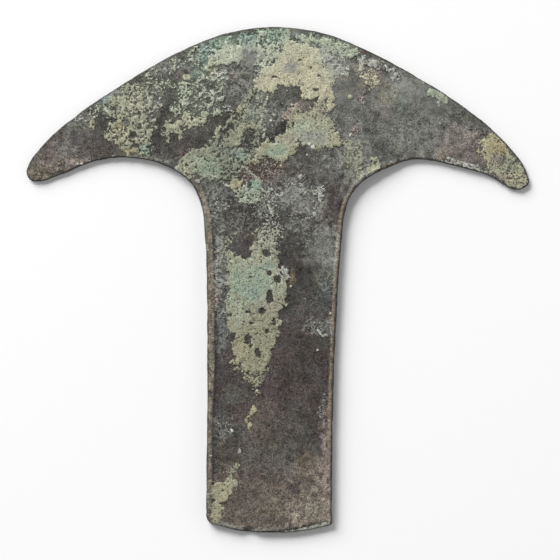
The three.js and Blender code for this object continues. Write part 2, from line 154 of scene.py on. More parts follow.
# Crusts: colour, how solid they are, how softly they end, and their outline. A solid one has a few
# small holes, and a thin one is a net of branches. One named a veil or a net is torn as well, and
# a bare one takes away what the crusts before it laid.
CRUSTS = {
    "middle crust": ("dull olive", 0.6, 0.9, [
        (184, 166), (190, 152), (204, 146), (214, 138), (226, 124), (238, 108), (246, 97), (254, 87),
        (262, 94), (268, 104), (268, 120), (266, 132), (262, 144), (256, 156), (248, 170), (234, 182),
        (206, 180), (188, 176)]),
    "middle veil": ("olive", 0.34, 2.4, [
        (256, 90), (270, 100), (280, 110), (280, 118), (266, 126), (258, 132), (256, 112)]),
    "left veil": ("pale green", 0.3, 2.4, [
        (92, 108), (130, 80), (160, 64), (200, 46), (232, 60), (232, 96), (212, 120), (190, 130),
        (160, 140), (150, 158), (118, 150), (98, 128)]),
    "top veil": ("sage", 0.46, 1.8, [
        (206, 48), (236, 36), (262, 28), (300, 30), (334, 44), (350, 56), (348, 78), (330, 84), (300, 44),
        (276, 60), (262, 68), (240, 62), (214, 66)]),
    "neck veil": ("haze", 0.24, 2.4, [
        (212, 190), (240, 184), (300, 172), (328, 186), (326, 222), (300, 226), (262, 222), (232, 212)]),
    "bare band": ("bare", 1.2, 0.6, [
        (153, 124), (158, 112), (158, 104), (164, 96), (166, 88), (173, 86), (177, 93), (174, 102),
        (170, 110), (174, 118), (184, 114), (178, 120), (166, 120), (160, 128), (160, 140), (170, 146),
        (180, 141), (190, 133), (206, 129), (210, 134), (200, 146), (188, 152), (180, 170), (168, 162),
        (154, 158), (154, 146), (152, 134)]),
    "bare gap": ("bare", 0.75, 0.8, [
        (208, 124), (214, 116), (222, 116), (226, 108), (238, 96), (240, 86), (228, 84), (226, 96),
        (222, 104), (222, 114), (212, 120)]),
    "bare spot": ("bare", 1.2, 0.6, [
        (226, 66), (234, 62), (246, 63), (252, 70), (250, 82), (238, 84), (228, 78)]),
    "bare hollow": ("bare", 1.2, 0.6, [
        (266, 98), (274, 94), (282, 87), (294, 86), (300, 92), (300, 102), (290, 106), (282, 110),
        (270, 110)]),
    "bare black": ("bare", 1.2, 0.6, [
        (269, 139), (272, 132), (278, 130), (280, 120), (290, 117), (294, 126), (290, 134), (282, 133),
        (274, 142)]),
    "bare red spot": ("bare", 0.8, 0.5, [(176, 71), (181, 69), (185, 73), (184, 79), (178, 79)]),
    "bare strip": ("bare", 1.1, 0.6, [
        (220, 133), (222, 128), (228, 123), (233, 122), (232, 129), (226, 135), (222, 139)]),
    "bare oval": ("bare", 0.7, 0.8, [
        (238, 147), (242, 141), (243, 133), (250, 129), (255, 131), (252, 139), (250, 147), (242, 150)]),
    "bare left": ("bare", 1.2, 0.6, [
        (99, 114), (105, 109), (110, 114), (110, 126), (104, 133), (100, 126)]),
    "bare antler": ("bare", 1.0, 0.6, [(150, 86), (154, 84), (158, 92), (154, 98), (150, 96)]),
    "left lattice": ("olive", 0.65, 1.4, [
        (100, 106), (108, 97), (118, 92), (124, 86), (134, 84), (146, 82), (153, 93), (152, 104),
        (147, 112), (150, 122), (157, 128), (156, 133), (150, 135), (152, 143), (153, 152), (148, 158),
        (138, 156), (128, 157), (121, 152), (117, 145), (108, 142), (103, 139), (106, 133), (112, 124),
        (108, 113)]),
    "left edge": ("pale grey", 0.36, 0.9, [
        (70, 122), (80, 112), (92, 104), (98, 108), (97, 118), (96, 130), (88, 126), (78, 126)]),
    "left yellow": ("yellow", 0.68, 0.6, [(90, 121), (95, 119), (98, 127), (94, 132), (89, 128)]),
    "left tip band": ("tan", 0.36, 0.9, [(48, 172), (52, 165), (62, 160), (67, 163), (60, 171)]),
    "left tip": ("tan", 0.3, 0.9, [(29, 166), (36, 168), (46, 168), (46, 178), (36, 181)]),
    "left pink": ("pink tan", 0.4, 0.8, [(70, 165), (78, 158), (88, 160), (88, 165), (76, 168)]),
    "left rim": ("pink tan", 0.34, 0.6, [(108, 156), (130, 157), (150, 157), (150, 161), (110, 160)]),
    "left web": ("pale grey", 0.5, 0.9, [
        (147, 98), (155, 100), (163, 101), (162, 108), (156, 113), (150, 120), (146, 112)]),
    "antler": ("olive", 0.46, 0.6, [(154, 84), (158, 79), (162, 82), (163, 90), (158, 95)]),
    "upper left haze": ("pale grey", 0.28, 0.9, [
        (149, 70), (160, 65), (172, 64), (182, 60), (182, 70), (172, 73), (164, 78), (151, 77)]),
    "upper web": ("pale grey", 0.4, 0.7, [(181, 63), (186, 57), (194, 53), (197, 58), (190, 66)]),
    "patch A": ("pale green", 0.66, 0.6, [
        (177, 84), (181, 80), (188, 80), (190, 86), (192, 92), (190, 98), (192, 101), (185, 107),
        (181, 113), (174, 114), (172, 109), (176, 104), (180, 100), (179, 92)]),
    "web B": ("pale green", 0.5, 0.9, [
        (199, 76), (200, 68), (205, 66), (210, 70), (218, 68), (226, 70), (230, 80), (226, 88), (222, 92),
        (218, 98), (222, 106), (221, 114), (216, 115), (210, 112), (204, 120), (198, 118), (197, 108),
        (199, 100), (196, 92), (192, 86), (190, 78)]),
    "band C": ("olive", 0.72, 0.5, [
        (164, 120), (170, 121), (176, 122), (182, 118), (188, 111), (194, 116), (199, 117), (205, 113),
        (208, 112), (206, 120), (204, 126), (196, 127), (191, 128), (186, 131), (181, 137), (176, 134),
        (171, 136), (171, 141), (168, 143), (166, 139), (161, 137), (160, 134), (165, 134), (168, 130),
        (166, 125)]),
    "patch D": ("dull olive", 0.84, 0.8, [
        (174, 170), (177, 162), (188, 157), (191, 148), (197, 151), (204, 147), (212, 145), (218, 141),
        (220, 150), (218, 160), (220, 170), (216, 178), (206, 179), (198, 176), (192, 178), (186, 178)]),
    "patch D right": ("dull olive", 0.52, 1.4, [
        (216, 142), (224, 141), (228, 147), (232, 152), (236, 150), (246, 148), (250, 152), (246, 158),
        (238, 163), (236, 170), (228, 176), (216, 178), (218, 160)]),
    "ragged line": ("olive", 0.8, 0.4, [
        (210, 143), (215, 136), (218, 130), (222, 126), (227, 121), (231, 117), (236, 111), (240, 107),
        (245, 99), (248, 92), (251, 87), (253, 92), (250, 99), (245, 107), (242, 114), (236, 117),
        (231, 121), (226, 126), (221, 131), (218, 139)]),
    "inner ring": ("olive", 0.88, 0.5, [
        (226, 146), (224, 140), (229, 134), (236, 128), (244, 124), (252, 122), (260, 126), (260, 130),
        (252, 127), (246, 128), (242, 134), (241, 140), (236, 145), (230, 148)]),
    "speckled middle": ("pale grey", 0.26, 1.2, [
        (240, 118), (250, 100), (256, 97), (268, 100), (270, 110), (274, 120), (276, 130), (272, 140),
        (262, 144), (256, 140), (262, 130), (256, 122)]),
    "top blue": ("blue green", 0.6, 0.9, [
        (200, 50), (206, 44), (212, 42), (211, 50), (209, 58), (206, 64), (202, 60)]),
    "top turquoise": ("turquoise", 0.82, 0.8, [
        (209, 45), (220, 40), (232, 37), (231, 44), (226, 48), (213, 50)]),
    "top pale": ("sage", 0.92, 0.6, [
        (208, 54), (226, 46), (243, 47), (247, 54), (242, 63), (228, 64), (218, 65), (209, 64)]),
    "rust speckle": ("pink tan", 0.4, 1.8, [
        (232, 164), (250, 160), (284, 160), (290, 172), (284, 182), (240, 182)]),
    "top yellow": ("yellow", 0.6, 0.6, [(207, 66), (213, 57), (219, 56), (219, 62), (213, 69)]),
    "top edge": ("turquoise", 0.62, 0.8, [
        (240, 36), (260, 29), (275, 28), (290, 30), (289, 40), (284, 46), (276, 44), (268, 47), (258, 44),
        (248, 48), (241, 46)]),
    "top right edge": ("pale green", 0.78, 1.0, [
        (293, 33), (310, 35), (330, 40), (345, 43), (358, 48), (364, 55), (352, 58), (340, 58), (330, 54),
        (320, 47), (308, 43), (296, 40)]),
    "cream patch": ("cream", 0.94, 0.7, [
        (281, 48), (289, 42), (303, 43), (318, 47), (321, 56), (325, 70), (335, 74), (334, 106),
        (331, 112), (324, 106), (326, 99), (319, 99), (311, 99), (302, 101), (301, 87), (296, 85),
        (287, 85), (280, 87), (272, 95), (267, 94), (254, 88), (254, 81), (262, 70), (271, 65), (274, 58)]),
    "beside the cream": ("sage", 0.74, 1.2, [
        (260, 42), (272, 40), (286, 44), (282, 58), (270, 70), (258, 76), (254, 62)]),
    "edge past the cream": ("pale grey", 0.66, 1.6, [
        (316, 44), (332, 48), (346, 60), (344, 76), (330, 76), (322, 66)]),
    "left rim patch": ("pink tan", 0.7, 0.7, [(211, 286), (218, 285), (222, 296), (219, 309), (213, 311)]),
    "lower edge specks": ("pale grey", 0.66, 1.2, [
        (440, 161), (452, 158), (470, 163), (488, 170), (492, 184), (470, 180), (452, 172), (440, 168)]),
    "under the cream": ("olive", 0.72, 0.6, [
        (310, 106), (318, 100), (326, 101), (333, 108), (330, 117), (318, 113), (309, 112)]),
    "pink net": ("pink tan", 0.5, 0.9, [
        (276, 108), (284, 104), (296, 103), (305, 110), (290, 121), (280, 121)]),
    "between D and F": ("olive", 0.62, 1.2, [
        (246, 158), (256, 153), (266, 157), (265, 162), (256, 166), (246, 168)]),
    "above the tongue": ("pale grey", 0.42, 0.9, [
        (264, 212), (272, 208), (280, 214), (283, 226), (284, 246), (279, 248), (268, 228)]),
    "tongue knob": ("pale grey", 0.8, 0.6, [
        (281, 266), (287, 270), (289, 278), (286, 284), (281, 280), (280, 272)]),
    "gap veil": ("pale grey", 0.52, 1.2, [
        (214, 98), (221, 98), (223, 109), (230, 109), (238, 104), (242, 110), (240, 120), (228, 119),
        (218, 113)]),
    "middle net right": ("pale grey", 0.46, 1.2, [
        (314, 183), (322, 180), (325, 196), (322, 218), (312, 220), (312, 200)]),
    "edge net left": ("pale green", 0.5, 1.2, [
        (184, 58), (192, 48), (200, 44), (205, 48), (196, 57), (188, 62)]),
    "edge net right": ("pale grey", 0.68, 1.2, [
        (356, 58), (372, 58), (396, 70), (404, 76), (398, 84), (378, 75), (362, 70)]),
    "patch E": ("olive", 0.84, 1.0, [
        (291, 112), (296, 111), (302, 112), (308, 112), (316, 109), (322, 108), (331, 119), (335, 127),
        (343, 141), (338, 145), (329, 149), (327, 149), (322, 149), (316, 149), (312, 149), (299, 142),
        (292, 131), (291, 123)]),
    "patch F": ("olive", 0.96, 0.4, [
        (257, 152), (261, 142), (268, 141), (275, 142), (276, 139), (284, 135), (286, 128), (294, 129),
        (297, 140), (299, 147), (296, 154), (287, 158), (282, 162), (270, 159), (259, 156)]),
    "crack": ("pale grey", 0.5, 0.35, [
        (198, 182), (204, 177), (211, 175), (216, 177), (223, 180), (231, 185), (231, 188), (223, 184),
        (216, 180), (211, 179), (204, 180), (199, 184)]),
    "yellow bead": ("yellow", 0.9, 0.3, [
        (229, 182), (234, 178), (241, 181), (243, 187), (236, 190), (230, 187)]),
    "small green": ("turquoise", 0.85, 0.5, [
        (248, 184), (252, 179), (258, 181), (262, 187), (257, 192), (250, 191)]),
    "middle olive": ("pale green", 0.7, 0.9, [
        (234, 190), (242, 184), (250, 188), (263, 187), (264, 198), (254, 204), (244, 206), (236, 200)]),
    "white web": ("pale grey", 0.45, 0.9, [
        (262, 190), (272, 188), (284, 192), (286, 204), (280, 212), (270, 208), (264, 200)]),
    "middle net": ("pale grey", 0.46, 1.2, [
        (284, 186), (290, 178), (300, 173), (309, 177), (306, 186), (307, 194), (302, 204), (308, 210),
        (316, 222), (308, 216), (298, 212), (288, 204)]),
    "cream specks": ("cream", 0.55, 0.8, [
        (358, 65), (364, 61), (372, 68), (380, 76), (380, 86), (370, 90), (364, 84)]),
    "green specks": ("yellow", 0.34, 1.4, [
        (380, 86), (392, 84), (400, 94), (398, 106), (386, 106), (379, 97)]),
    "ring": ("pink tan", 0.62, 0.5, [(358, 96), (362, 92), (366, 98), (364, 106), (360, 104)]),
    "pink specks": ("pink tan", 0.5, 0.6, [
        (347, 133), (352, 128), (358, 128), (360, 135), (356, 140), (350, 139)]),
    "green strip": ("olive", 0.58, 0.9, [
        (344, 142), (349, 136), (354, 141), (361, 140), (364, 150), (364, 160), (361, 165), (366, 168),
        (369, 173), (360, 180), (355, 184), (350, 178), (352, 170), (346, 162), (343, 152)]),
    "olive blob": ("olive", 0.85, 0.5, [
        (368, 166), (371, 159), (376, 159), (380, 165), (378, 171), (371, 175), (366, 173)]),
    "pale spot": ("pale green", 0.85, 0.6, [
        (428, 90), (436, 89), (449, 97), (447, 105), (438, 104), (430, 96)]),
    "edge spot": ("cream", 0.66, 0.5, [(419, 79), (424, 77), (429, 82), (424, 84)]),
    "right tip yellow": ("yellow", 0.86, 1.8, [
        (479, 140), (484, 135), (494, 134), (506, 143), (508, 153), (499, 158), (488, 163), (482, 158),
        (477, 152)]),
    "right tip": ("olive", 0.7, 1.2, [
        (484, 154), (494, 156), (502, 154), (508, 150), (516, 158), (524, 168), (530, 178), (529, 188),
        (524, 192), (514, 190), (504, 184), (494, 178), (486, 172)]),
    "armpit line": ("tan", 0.5, 0.35, [
        (380, 168), (390, 163), (404, 160), (404, 162), (392, 166), (382, 171)]),
    "tongue": ("olive", 0.85, 0.35, [
        (252, 244), (266, 250), (274, 258), (279, 266), (287, 278), (288, 287), (287, 298), (283, 306),
        (280, 314), (280, 322), (279, 333), (275, 346), (272, 356), (267, 368), (256, 374), (244, 370),
        (236, 362), (230, 347), (228, 331), (229, 316), (224, 301), (229, 288), (229, 278), (228, 264),
        (228, 254), (231, 249), (240, 247)]),
    "tongue end": ("olive", 0.56, 0.5, [
        (231, 356), (236, 358), (245, 364), (256, 368), (267, 362), (268, 368), (265, 376), (261, 386),
        (257, 394), (251, 386), (246, 381), (241, 372), (233, 373)]),
    "tongue top": ("olive", 0.62, 0.8, [
        (250, 246), (252, 234), (258, 228), (268, 225), (277, 229), (279, 242), (277, 252), (281, 266),
        (274, 266), (262, 256), (252, 258)]),
    "tongue left top": ("olive", 0.6, 0.7, [
        (218, 252), (225, 240), (236, 232), (241, 236), (233, 246), (234, 254), (238, 262), (230, 268),
        (222, 262)]),
    "bare tongue hole": ("bare", 1.3, 0.5, [
        (233, 240), (238, 235), (247, 234), (253, 238), (253, 245), (250, 251), (250, 256), (245, 259),
        (240, 255), (236, 256), (232, 250)]),
    "butt patch": ("olive", 0.9, 0.5, [
        (208, 480), (215, 479), (222, 482), (230, 478), (236, 480), (237, 485), (232, 492), (228, 499),
        (226, 504), (224, 509), (222, 517), (218, 524), (212, 521), (208, 512), (207, 500), (207, 490)]),
    "butt branch": ("olive", 0.6, 0.4, [
        (225, 472), (230, 467), (236, 464), (241, 464), (240, 468), (236, 473), (233, 480), (228, 478),
        (229, 473)]),
    "tan blob": ("yellow", 0.9, 0.35, [
        (250, 414), (253, 406), (257, 408), (256, 413), (253, 418), (253, 425), (251, 432), (247, 432),
        (248, 424)]),
    "rim streak": ("pale grey", 0.4, 0.5, [
        (319, 402), (323, 394), (326, 398), (325, 412), (321, 424), (318, 416)]),
    "small tan blob": ("pale grey", 0.9, 0.3, [(237, 453), (240, 450), (242, 453), (239, 455)]),
    "left specks": ("pale grey", 0.22, 0.9, [
        (214, 418), (222, 414), (230, 420), (236, 432), (230, 442), (218, 438)]),
    "left net": ("haze", 0.4, 0.8, [
        (214, 244), (226, 236), (229, 262), (228, 288), (227, 330), (218, 326), (215, 290)]),
    "neck veil left": ("pale grey", 0.2, 2.0, [
        (206, 186), (222, 184), (238, 190), (236, 206), (226, 216), (214, 230), (209, 210)]),
    "neck haze": ("haze", 0.3, 1.5, [
        (302, 230), (318, 226), (336, 232), (334, 256), (316, 264), (304, 250)]),
    "right haze": ("haze", 0.26, 1.2, [(318, 262), (332, 262), (333, 288), (322, 290)]),
    "right specks": ("haze", 0.3, 0.9, [
        (298, 322), (306, 316), (318, 320), (330, 326), (334, 336), (326, 341), (318, 332), (304, 330)]),
    "pink corner": ("pink tan", 0.34, 2.4, [
        (302, 500), (312, 492), (331, 486), (331, 524), (312, 528), (296, 526)]),
}

# Holes in the crusts: middle and half widths
HOLES = [
    (280, 203, 4, 5), (147, 101, 2.5, 4), (114, 121, 3.5, 3), (126, 122, 4, 3), (115, 109, 4, 2),
    (133, 135, 4, 2.5), (136, 146, 4, 2), (195, 78, 3, 4), (200, 91, 2.5, 3), (211, 88, 4.5, 3),
    (208, 101, 2.5, 4), (205, 82, 3, 2), (266, 253, 4, 3), (270, 273, 2.5, 2.2), (277, 279, 4, 3.5),
    (270, 297, 3.5, 7), (262, 311, 3, 3.5), (248, 339, 3.5, 4.5), (257.5, 353, 2.8, 4.5),
    (248, 312, 3, 1.2), (274, 321, 1.6, 4), (267, 331, 2, 2), (251, 346, 2, 2), (252, 323, 2.5, 1.2),
    (233, 337, 2.5, 4), (300, 60, 1.6, 1), (311, 68, 1.2, 2), (319, 76, 1.5, 1), (316, 90, 3, 1.5),
    (275, 77, 2.5, 1), (212, 483, 3, 1.2), (223, 490, 2, 1), (213, 500, 2.2, 1.4), (222, 503, 3, 1.6),
    (215, 508, 1, 1), (375, 163, 1.3, 1.3), (481, 149, 1.4, 2),
]

# Soft changes of colour: on the crusts or on the ground between them, colour, middle, half widths
# and strength
CRUST_TINTS = [
    ("ochre", 250, 345, 30, 52, 0.35), ("olive", 198, 162, 20, 14, 0.75), ("sage", 312, 130, 24, 18, 0.3),
    ("sage", 278, 148, 20, 12, 0.3), ("cream", 508, 170, 20, 16, 0.4),
    ("dull olive", 228, 158, 12, 14, 0.8), ("dull olive", 126, 120, 44, 44, 0.3),
    ("yellow", 120, 128, 9, 9, 0.7), ("cream", 137, 107, 14, 12, 0.55), ("turquoise", 147, 150, 7, 5, 0.8),
    ("pink tan", 134, 140, 7, 5, 0.6), ("ochre", 128, 152, 9, 5, 0.6), ("blue green", 105, 99, 6, 5, 0.9),
    ("cream", 125, 140, 12, 8, 0.4), ("cream", 186, 122, 16, 8, 0.4), ("turquoise", 204, 167, 15, 8, 0.5),
    ("ochre", 187, 168, 7, 6, 0.5), ("turquoise", 241, 155, 8, 6, 0.6), ("yellow", 239, 111, 5, 6, 0.6),
    ("yellow", 246, 129, 6, 5, 0.5), ("ochre", 213, 71, 7, 6, 0.7), ("white", 221, 75, 8, 5, 0.5),
    ("pale grey", 205, 90, 14, 14, 0.5), ("turquoise", 274, 34, 12, 8, 0.5),
    ("blue green", 247, 40, 8, 8, 0.6), ("pale green", 268, 55, 12, 9, 0.6),
    ("pale green", 300, 48, 14, 6, 0.3), ("yellow", 301, 66, 12, 8, 0.35), ("haze", 291, 67, 7, 7, 0.6),
    ("cream", 318, 80, 18, 16, 0.5), ("yellow", 330, 96, 6, 14, 0.5), ("pink tan", 262, 80, 8, 7, 0.35),
    ("sage", 186, 166, 10, 12, 0.2), ("pale green", 303, 131, 12, 9, 0.7), ("yellow", 297, 114, 6, 5, 0.5),
    ("yellow", 335, 139, 7, 7, 0.6), ("pink tan", 321, 112, 7, 5, 0.5), ("haze", 312, 138, 12, 7, 0.5),
    ("cream", 278, 149, 24, 13, 0.35), ("turquoise", 276, 151, 11, 7, 0.65),
    ("pink tan", 289, 139, 8, 5, 0.6), ("ochre", 295, 151, 5, 5, 0.6), ("ochre", 266, 147, 6, 3, 0.5),
    ("dull olive", 254, 315, 36, 84, 0.3), ("sage", 254, 278, 26, 26, 0.4),
    ("turquoise", 250, 286, 22, 19, 0.62), ("blue green", 272, 265, 6, 5, 0.5),
    ("blue green", 250, 292, 10, 7, 0.4), ("pale grey", 264, 236, 14, 12, 0.4),
    ("pale green", 238, 310, 12, 16, 0.5), ("pale grey", 283, 271, 7, 5, 0.8),
    ("yellow", 240, 352, 9, 12, 0.45), ("pink tan", 268, 305, 12, 10, 0.3),
    ("yellow", 222, 499, 12, 22, 0.65), ("yellow", 213, 520, 8, 8, 0.4),
    ("turquoise", 211, 500, 5, 10, 0.2), ("yellow", 519, 182, 12, 9, 0.4), ("ochre", 497, 150, 9, 7, 0.7),
    ("dull olive", 508, 164, 12, 8, 0.6), ("pink tan", 500, 181, 10, 6, 0.7),
    ("blue grey", 500, 160, 6, 4, 0.6), ("pink tan", 496, 160, 7, 5, 0.5), ("ochre", 252, 228, 10, 5, 0.2),
]
GROUND_TINTS = [
    ("stone", 416, 88, 26, 18, 0.5), ("stone", 388, 96, 18, 22, 0.4), ("haze", 346, 80, 16, 34, 0.25),
    ("pink tan", 462, 148, 30, 26, 0.7), ("haze", 354, 160, 14, 26, 0.5),
    ("pink tan", 506, 172, 22, 18, 0.4), ("stone", 440, 115, 125, 60, 0.78),
    ("stone", 348, 105, 30, 70, 0.6), ("green grey", 170, 105, 90, 60, 0.45),
    ("green grey", 265, 70, 100, 45, 0.6), ("earth", 275, 500, 80, 55, 0.7),
    ("earth", 60, 155, 60, 30, 0.6), ("pink tan", 48, 160, 26, 22, 0.25), ("tan", 40, 176, 16, 9, 0.7),
    ("purple brown", 49, 154, 7, 8, 0.8), ("dark", 32, 178, 6, 3, 0.8), ("grey", 68, 146, 13, 17, 0.5),
    ("pink tan", 80, 163, 12, 5, 0.6), ("umber", 98, 146, 24, 14, 0.35), ("dark", 128, 122, 34, 34, 0.5),
    ("dark", 103, 121, 6, 10, 0.6), ("green grey", 72, 126, 12, 7, 0.5),
    ("green grey", 122, 98, 20, 14, 0.5), ("blue green", 106, 99, 7, 5, 0.6),
    ("dark", 162, 118, 12, 30, 0.7), ("dark", 224, 112, 18, 20, 0.35), ("dark", 176, 152, 24, 12, 0.6),
    ("dark", 169, 86, 9, 12, 0.5), ("dark", 211, 88, 7, 5, 0.8), ("grey", 156, 95, 12, 12, 0.45),
    ("dark", 180, 74, 5, 5, 0.6), ("red brown", 180, 74, 5, 5, 0.8), ("grey", 170, 66, 26, 9, 0.4),
    ("dark", 184, 143, 28, 11, 0.6), ("purple brown", 182, 148, 24, 9, 0.3),
    ("red brown", 186, 153, 5, 6, 0.6), ("green grey", 204, 90, 18, 20, 0.5),
    ("turquoise", 200, 68, 9, 10, 0.5), ("dark", 226, 122, 14, 16, 0.35), ("dark", 250, 138, 9, 10, 0.5),
    ("dark", 238, 70, 16, 9, 0.45), ("pink tan", 234, 76, 8, 5, 0.45), ("dark", 240, 86, 15, 9, 0.45),
    ("grey", 252, 52, 12, 10, 0.9), ("turquoise", 276, 34, 18, 8, 0.5), ("turquoise", 228, 42, 18, 7, 0.5),
    ("blue green", 206, 54, 7, 11, 0.6), ("green grey", 250, 34, 16, 8, 0.5),
    ("turquoise", 326, 45, 28, 9, 0.4), ("blue grey", 342, 56, 12, 8, 0.4), ("haze", 334, 66, 12, 13, 0.6),
    ("tan", 344, 76, 5, 5, 0.6), ("rust", 366, 51, 3, 3, 1.0), ("blue green", 364, 58, 3, 3, 0.7),
    ("umber", 284, 96, 19, 12, 0.35), ("black", 288, 126, 8, 8, 0.95), ("black", 273, 137, 10, 6, 0.95),
    ("black", 268, 130, 6, 8, 0.7), ("pink tan", 303, 106, 10, 5, 0.35), ("dark", 318, 101, 9, 6, 0.5),
    ("grey", 256, 108, 12, 12, 0.4), ("haze", 266, 122, 9, 16, 0.3), ("rust", 262, 172, 30, 11, 0.4),
    ("rust", 245, 166, 14, 8, 0.4), ("stone", 308, 162, 22, 16, 0.5), ("haze", 296, 197, 12, 15, 0.45),
    ("haze", 316, 208, 10, 14, 0.35), ("green grey", 214, 205, 16, 28, 0.85),
    ("umber", 238, 214, 36, 26, 0.7), ("dark", 248, 214, 22, 15, 0.9), ("dark", 261, 214, 7, 7, 0.4),
    ("pink tan", 217, 298, 8, 13, 0.9), ("grey", 208, 243, 5, 12, 0.5), ("stone", 237, 237, 8, 6, 0.5),
    ("haze", 384, 74, 9, 5, 0.5), ("purple brown", 243, 244, 10, 13, 0.6), ("dark", 244, 253, 8, 5, 0.5),
    ("dark", 300, 268, 20, 26, 0.75), ("dark", 214, 388, 10, 44, 0.5), ("ochre", 293, 278, 3, 6, 0.4),
    ("haze", 320, 245, 20, 18, 0.35), ("haze", 331, 254, 6, 26, 0.6), ("haze", 335, 163, 8, 8, 0.6),
    ("stone", 298, 226, 12, 10, 0.4), ("stone", 329, 178, 9, 9, 0.5), ("green grey", 326, 288, 12, 26, 0.5),
    ("blue grey", 322, 302, 14, 15, 0.5), ("green grey", 222, 262, 9, 28, 0.5),
    ("blue grey", 222, 325, 6, 38, 0.7), ("purple brown", 302, 378, 36, 56, 0.8),
    ("dark", 312, 372, 20, 34, 0.35), ("purple brown", 226, 386, 18, 28, 0.7),
    ("green grey", 238, 395, 16, 8, 0.4), ("tan", 262, 425, 18, 22, 0.25),
    ("green grey", 290, 424, 18, 22, 0.15), ("blue grey", 285, 470, 14, 26, 0.2),
    ("tan", 255, 500, 42, 30, 0.25), ("purple brown", 247, 502, 9, 8, 0.5), ("tan", 308, 466, 14, 14, 0.4),
    ("tan", 279, 507, 14, 10, 0.35), ("dark", 308, 341, 8, 6, 0.5), ("dark", 371, 153, 6, 6, 0.6),
    ("haze", 327, 325, 5, 8, 0.5), ("purple brown", 250, 450, 22, 26, 0.3),
    ("pink tan", 320, 506, 20, 26, 0.8), ("pink tan", 326, 446, 5, 40, 0.7), ("tan", 316, 508, 20, 24, 0.4),
    ("pink tan", 312, 518, 24, 12, 0.9), ("cream", 319, 512, 14, 16, 0.3),
    ("rim tan", 315, 518, 17, 8, 0.85), ("green grey", 255, 455, 26, 20, 0.2),
    ("pink tan", 370, 72, 13, 12, 0.6), ("rust", 364, 84, 12, 8, 0.35), ("rust", 356, 93, 8, 5, 0.35),
    ("rust", 386, 84, 6, 9, 0.45), ("ochre", 388, 95, 9, 9, 0.9), ("turquoise", 398, 103, 5, 9, 0.6),
    ("pink tan", 387, 111, 8, 8, 0.5), ("red brown", 386, 112, 4, 4, 0.4), ("haze", 398, 86, 13, 15, 0.35),
    ("blue grey", 437, 106, 16, 16, 0.5), ("grey", 412, 138, 34, 22, 0.1),
    ("green grey", 404, 128, 40, 32, 0.3), ("pink tan", 462, 148, 24, 24, 0.4),
    ("tan", 444, 154, 8, 8, 0.4), ("blue grey", 378, 156, 12, 16, 0.3), ("dark", 476, 116, 26, 12, 0.4),
    ("purple brown", 476, 158, 10, 14, 0.5), ("green grey", 464, 112, 16, 12, 0.3),
    ("purple brown", 512, 166, 12, 10, 0.5), ("pink tan", 526, 182, 10, 12, 0.5),
]

# Where fine pale dust clings to the ground: middle, half widths and strength
DUST = [
    (222, 262, 9, 36, 0.9), (250, 198, 44, 12, 0.5), (298, 196, 20, 18, 0.9), (316, 208, 10, 16, 0.7),
    (326, 246, 15, 24, 0.8), (298, 226, 12, 8, 0.7), (326, 280, 10, 16, 0.6), (318, 326, 18, 11, 0.62),
    (268, 112, 22, 14, 0.6), (415, 138, 40, 24, 0.5), (224, 428, 13, 17, 0.55), (318, 510, 20, 22, 0.45),
    (268, 200, 13, 18, 0.9), (222, 328, 8, 38, 0.5), (170, 68, 34, 14, 0.5), (238, 80, 26, 22, 0.6),
    (400, 85, 18, 20, 0.6), (80, 120, 20, 16, 0.5), (130, 105, 34, 26, 0.6), (216, 204, 16, 30, 0.6),
    (240, 222, 28, 22, 0.5), (210, 92, 22, 22, 0.4), (60, 160, 30, 20, 0.3), (320, 50, 36, 14, 0.6),
    (360, 90, 16, 20, 0.4), (500, 165, 34, 26, 0.4), (356, 155, 16, 30, 0.6), (175, 152, 26, 12, 0.35),
    (150, 160, 30, 6, 0.6), (262, 98, 14, 14, 0.5),
]

# Where a film of pale grey veils ground and crusts alike: middle, half widths and strength
HAZE = [
    (251, 56, 11, 9, 0.75), (281, 179, 6, 5, 0.35), (296, 33, 9, 4, 0.4), (388, 96, 14, 17, 0.38),
    (414, 88, 17, 14, 0.42), (334, 66, 12, 14, 0.4), (346, 84, 14, 28, 0.25), (312, 138, 12, 7, 0.35),
    (291, 67, 7, 7, 0.35), (355, 158, 10, 22, 0.25), (436, 109, 13, 13, 0.35), (238, 153, 11, 5, 0.4),
    (320, 250, 14, 18, 0.2),
]

# Pale threads of crust that run over the ground
THREADS = [
    [(198, 181), (205, 175), (211, 174), (218, 179), (221, 181)],
    [(222, 182), (226, 185), (230, 188), (233, 186)],
    [(239, 171), (243, 167), (247, 168), (250, 172), (254, 176), (259, 180)],
    [(261, 106), (262, 116), (261, 124), (265, 132), (264, 138)],
    [(268, 97), (266, 103), (262, 107)],
    [(262, 189), (267, 193), (273, 190), (279, 196), (284, 194)],
    [(271, 199), (268, 205), (272, 212)],
    [(246, 200), (253, 203), (259, 200)],
    [(205, 66), (210, 74), (216, 72), (222, 77)],
    [(210, 88), (214, 94), (219, 92), (223, 88)],
    [(148, 98), (152, 104), (157, 102), (162, 106)],
    [(104, 108), (108, 112), (112, 118), (110, 124)],
    [(214, 137), (217, 132), (220, 128)],
    [(318, 330), (322, 336), (328, 334)],
]

